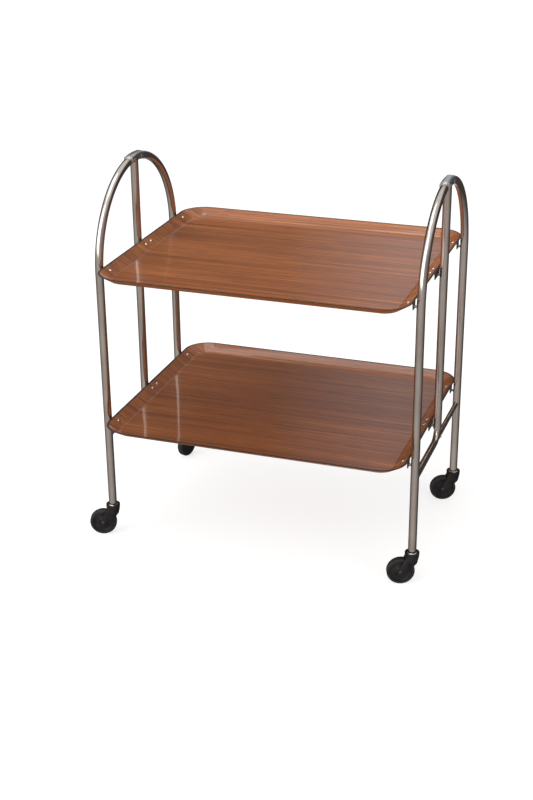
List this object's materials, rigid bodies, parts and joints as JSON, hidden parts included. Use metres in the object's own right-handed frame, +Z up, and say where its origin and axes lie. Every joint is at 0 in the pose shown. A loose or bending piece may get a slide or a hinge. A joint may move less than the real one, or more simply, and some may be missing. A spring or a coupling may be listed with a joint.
{
  "type": "serving trolley",
  "caption": "Two-tier serving trolley with arched tube ends, pressed wood trays and swivel casters.",
  "frame": {"origin": "on the floor, under the middle of the object's box with the casters as they stand", "axes": "+Z up, +X along the trays, -Y the front"},
  "size_m": [0.6806, 0.498, 0.7446],
  "materials": {
    "chromed_tube": "polished, slightly dulled chrome on steel tube",
    "cap_sheet": "satin grey sheet",
    "plain_steel": "plated steel",
    "bright_rivets": "bright plated",
    "wood_tray": "red-brown straight grained veneer under clear lacquer",
    "black_plastic": "satin moulded",
    "black_rubber": "smooth tread"
  },
  "bodies": {
    "frame": {"left_front_leg_tube": "chromed_tube", "left_rear_leg_tube": "chromed_tube", "left_centre_post": "chromed_tube", "left_front_stretcher": "chromed_tube", "left_rear_stretcher": "chromed_tube", "left_foot_spigot": "plain_steel", "left_foot_rivet": "bright_rivets", "left_crown_cap": "cap_sheet", "left_crown_plug": "plain_steel", "left_crown_rivets": "bright_rivets", "left_tray_studs": "bright_rivets", "right_front_leg_tube": "chromed_tube", "right_rear_leg_tube": "chromed_tube", "right_centre_post": "chromed_tube", "right_front_stretcher": "chromed_tube", "right_rear_stretcher": "chromed_tube", "right_foot_spigot": "plain_steel", "right_foot_rivet": "bright_rivets", "right_crown_cap": "cap_sheet", "right_crown_plug": "plain_steel", "right_crown_rivets": "bright_rivets", "right_tray_studs": "bright_rivets", "upper_tray": "wood_tray", "upper_tray_rivets": "bright_rivets", "upper_left_corner_brackets": "plain_steel", "upper_left_centre_bracket": "plain_steel", "upper_right_corner_brackets": "plain_steel", "upper_right_centre_bracket": "plain_steel", "lower_tray": "wood_tray", "lower_tray_rivets": "bright_rivets", "lower_left_corner_brackets": "plain_steel", "lower_left_centre_bracket": "plain_steel", "lower_right_corner_brackets": "plain_steel", "lower_right_centre_bracket": "plain_steel", "front_left_leg_sleeve": "plain_steel", "rear_left_leg_sleeve": "plain_steel", "front_right_leg_sleeve": "plain_steel", "rear_right_leg_sleeve": "plain_steel"},
    "front_left_caster": {"front_left_caster_stem": "plain_steel", "front_left_caster_housing": "black_plastic", "front_left_wheel_axle": "plain_steel"},
    "front_left_wheel": {"front_left_wheel_hub": "black_plastic", "front_left_tyre": "black_rubber"},
    "rear_left_caster": {"rear_left_caster_stem": "plain_steel", "rear_left_caster_housing": "black_plastic", "rear_left_wheel_axle": "plain_steel"},
    "rear_left_wheel": {"rear_left_wheel_hub": "black_plastic", "rear_left_tyre": "black_rubber"},
    "front_right_caster": {"front_right_caster_stem": "plain_steel", "front_right_caster_housing": "black_plastic", "front_right_wheel_axle": "plain_steel"},
    "front_right_wheel": {"front_right_wheel_hub": "black_plastic", "front_right_tyre": "black_rubber"},
    "rear_right_caster": {"rear_right_caster_stem": "plain_steel", "rear_right_caster_housing": "black_plastic", "rear_right_wheel_axle": "plain_steel"},
    "rear_right_wheel": {"rear_right_wheel_hub": "black_plastic", "rear_right_tyre": "black_rubber"}
  },
  "joints": [
    {"name": "front_left_swivel", "type": "hinge", "parent": "frame", "child": "front_left_caster", "pos_m": [-0.29373, -0.18, 0.06], "axis": [0, 0, 1], "continuous": true},
    {"name": "front_left_roll", "type": "hinge", "parent": "front_left_caster", "child": "front_left_wheel", "pos_m": [-0.31346, -0.18718, 0.027], "axis": [0.342, -0.9397, 0], "continuous": true},
    {"name": "rear_left_swivel", "type": "hinge", "parent": "frame", "child": "rear_left_caster", "pos_m": [-0.29373, 0.18, 0.06], "axis": [0, 0, 1], "continuous": true},
    {"name": "rear_left_roll", "type": "hinge", "parent": "rear_left_caster", "child": "rear_left_wheel", "pos_m": [-0.28829, 0.20028, 0.027], "axis": [-0.9659, 0.2588, 0], "continuous": true},
    {"name": "front_right_swivel", "type": "hinge", "parent": "frame", "child": "front_right_caster", "pos_m": [0.32627, -0.18, 0.06], "axis": [0, 0, 1], "continuous": true},
    {"name": "front_right_roll", "type": "hinge", "parent": "front_right_caster", "child": "front_right_wheel", "pos_m": [0.30654, -0.18718, 0.027], "axis": [0.342, -0.9397, 0], "continuous": true},
    {"name": "rear_right_swivel", "type": "hinge", "parent": "frame", "child": "rear_right_caster", "pos_m": [0.32627, 0.18, 0.06], "axis": [0, 0, 1], "continuous": true},
    {"name": "rear_right_roll", "type": "hinge", "parent": "rear_right_caster", "child": "rear_right_wheel", "pos_m": [0.30654, 0.17282, 0.027], "axis": [0.342, -0.9397, 0], "continuous": true}
  ]
}
